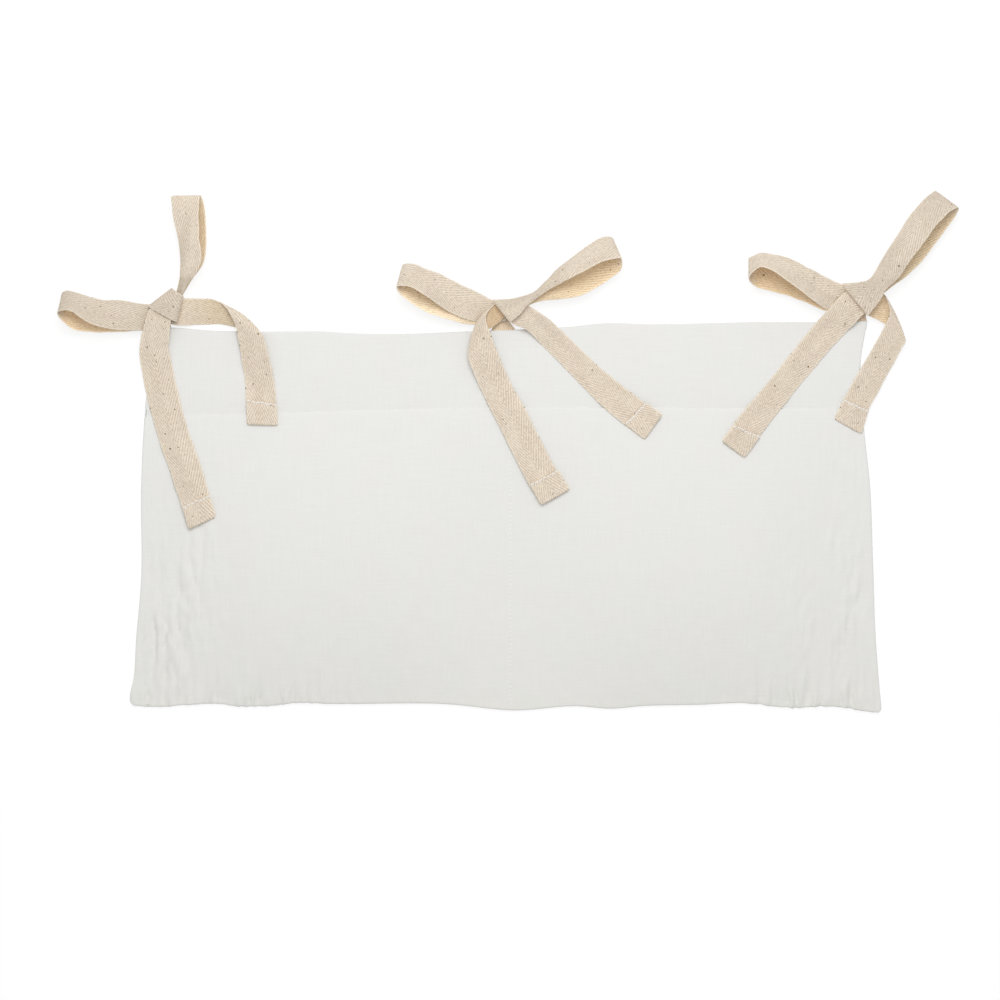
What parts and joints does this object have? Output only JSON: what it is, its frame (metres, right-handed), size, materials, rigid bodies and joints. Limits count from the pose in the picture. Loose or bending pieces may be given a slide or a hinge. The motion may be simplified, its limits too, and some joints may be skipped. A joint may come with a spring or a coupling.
{
  "type": "crib organizer",
  "caption": "Soft cloth crib organizer with a shallow top band, side by side pockets and twill tape ties along its top edge for tying round a rail",
  "frame": {"origin": "middle of the panel's underside, on the surface that it lies on", "axes": "+X along the panel to the right as seen from its front, +Y towards the top edge with the ties, +Z out of the front"},
  "size_m": [0.7207, 0.4165, 0.0351],
  "materials": {
    "muslin": "white double-gauze cotton muslin, matte, lightly crinkled",
    "twill_tape": "undyed cotton herringbone tape with small seed flecks, matte"
  },
  "bodies": {
    "back": {"back_lining": "muslin", "back_face": "muslin", "left_knot": "twill_tape", "left_root": "twill_tape", "left_tail_long": "twill_tape", "left_tail_short": "twill_tape", "center_knot": "twill_tape", "center_root": "twill_tape", "center_tail_left": "twill_tape", "center_tail_right": "twill_tape", "right_knot": "twill_tape", "right_root": "twill_tape", "right_tail_left": "twill_tape", "right_tail_right": "twill_tape"},
    "left_pocket": {"pocket_left": "muslin"},
    "right_pocket": {"pocket_right": "muslin"},
    "left_loop_left_body": {"left_loop_left": "twill_tape"},
    "left_loop_up_body": {"left_loop_up": "twill_tape"},
    "center_loop_left_body": {"center_loop_left": "twill_tape"},
    "center_loop_right_body": {"center_loop_right": "twill_tape"},
    "right_loop_left_body": {"right_loop_left": "twill_tape"},
    "right_loop_up_body": {"right_loop_up": "twill_tape"}
  },
  "joints": [
    {"name": "left_pocket_open", "type": "hinge", "parent": "back", "child": "left_pocket", "pos_m": [-0.148, -0.1545, 0.003], "axis": [1, 0, 0], "range_deg": [0, 14], "deforming": ["left_tail_long", "left_tail_short", "center_tail_left"]},
    {"name": "right_pocket_open", "type": "hinge", "parent": "back", "child": "right_pocket", "pos_m": [0.151, -0.1545, 0.003], "axis": [1, 0, 0], "range_deg": [0, 14], "deforming": ["center_tail_right", "right_tail_left", "right_tail_right"]},
    {"name": "left_loop_left_swing", "type": "hinge", "parent": "back", "child": "left_loop_left_body", "pos_m": [-0.2724, 0.1692, 0.0064], "axis": [0, 0, 1], "range_deg": [-20, 10]},
    {"name": "left_loop_up_swing", "type": "hinge", "parent": "back", "child": "left_loop_up_body", "pos_m": [-0.2724, 0.1692, 0.0064], "axis": [0, 0, 1], "range_deg": [-20, 20]},
    {"name": "center_loop_left_swing", "type": "hinge", "parent": "back", "child": "center_loop_left_body", "pos_m": [0.0036, 0.1673, 0.0064], "axis": [0, 0, 1], "range_deg": [-25, 8]},
    {"name": "center_loop_right_swing", "type": "hinge", "parent": "back", "child": "center_loop_right_body", "pos_m": [0.0036, 0.1673, 0.0064], "axis": [0, 0, 1], "range_deg": [-8, 25]},
    {"name": "right_loop_left_swing", "type": "hinge", "parent": "back", "child": "right_loop_left_body", "pos_m": [0.2868, 0.1765, 0.0064], "axis": [0, 0, 1], "range_deg": [-25, 8]},
    {"name": "right_loop_up_swing", "type": "hinge", "parent": "back", "child": "right_loop_up_body", "pos_m": [0.2868, 0.1765, 0.0064], "axis": [0, 0, 1], "range_deg": [-20, 25]}
  ]
}
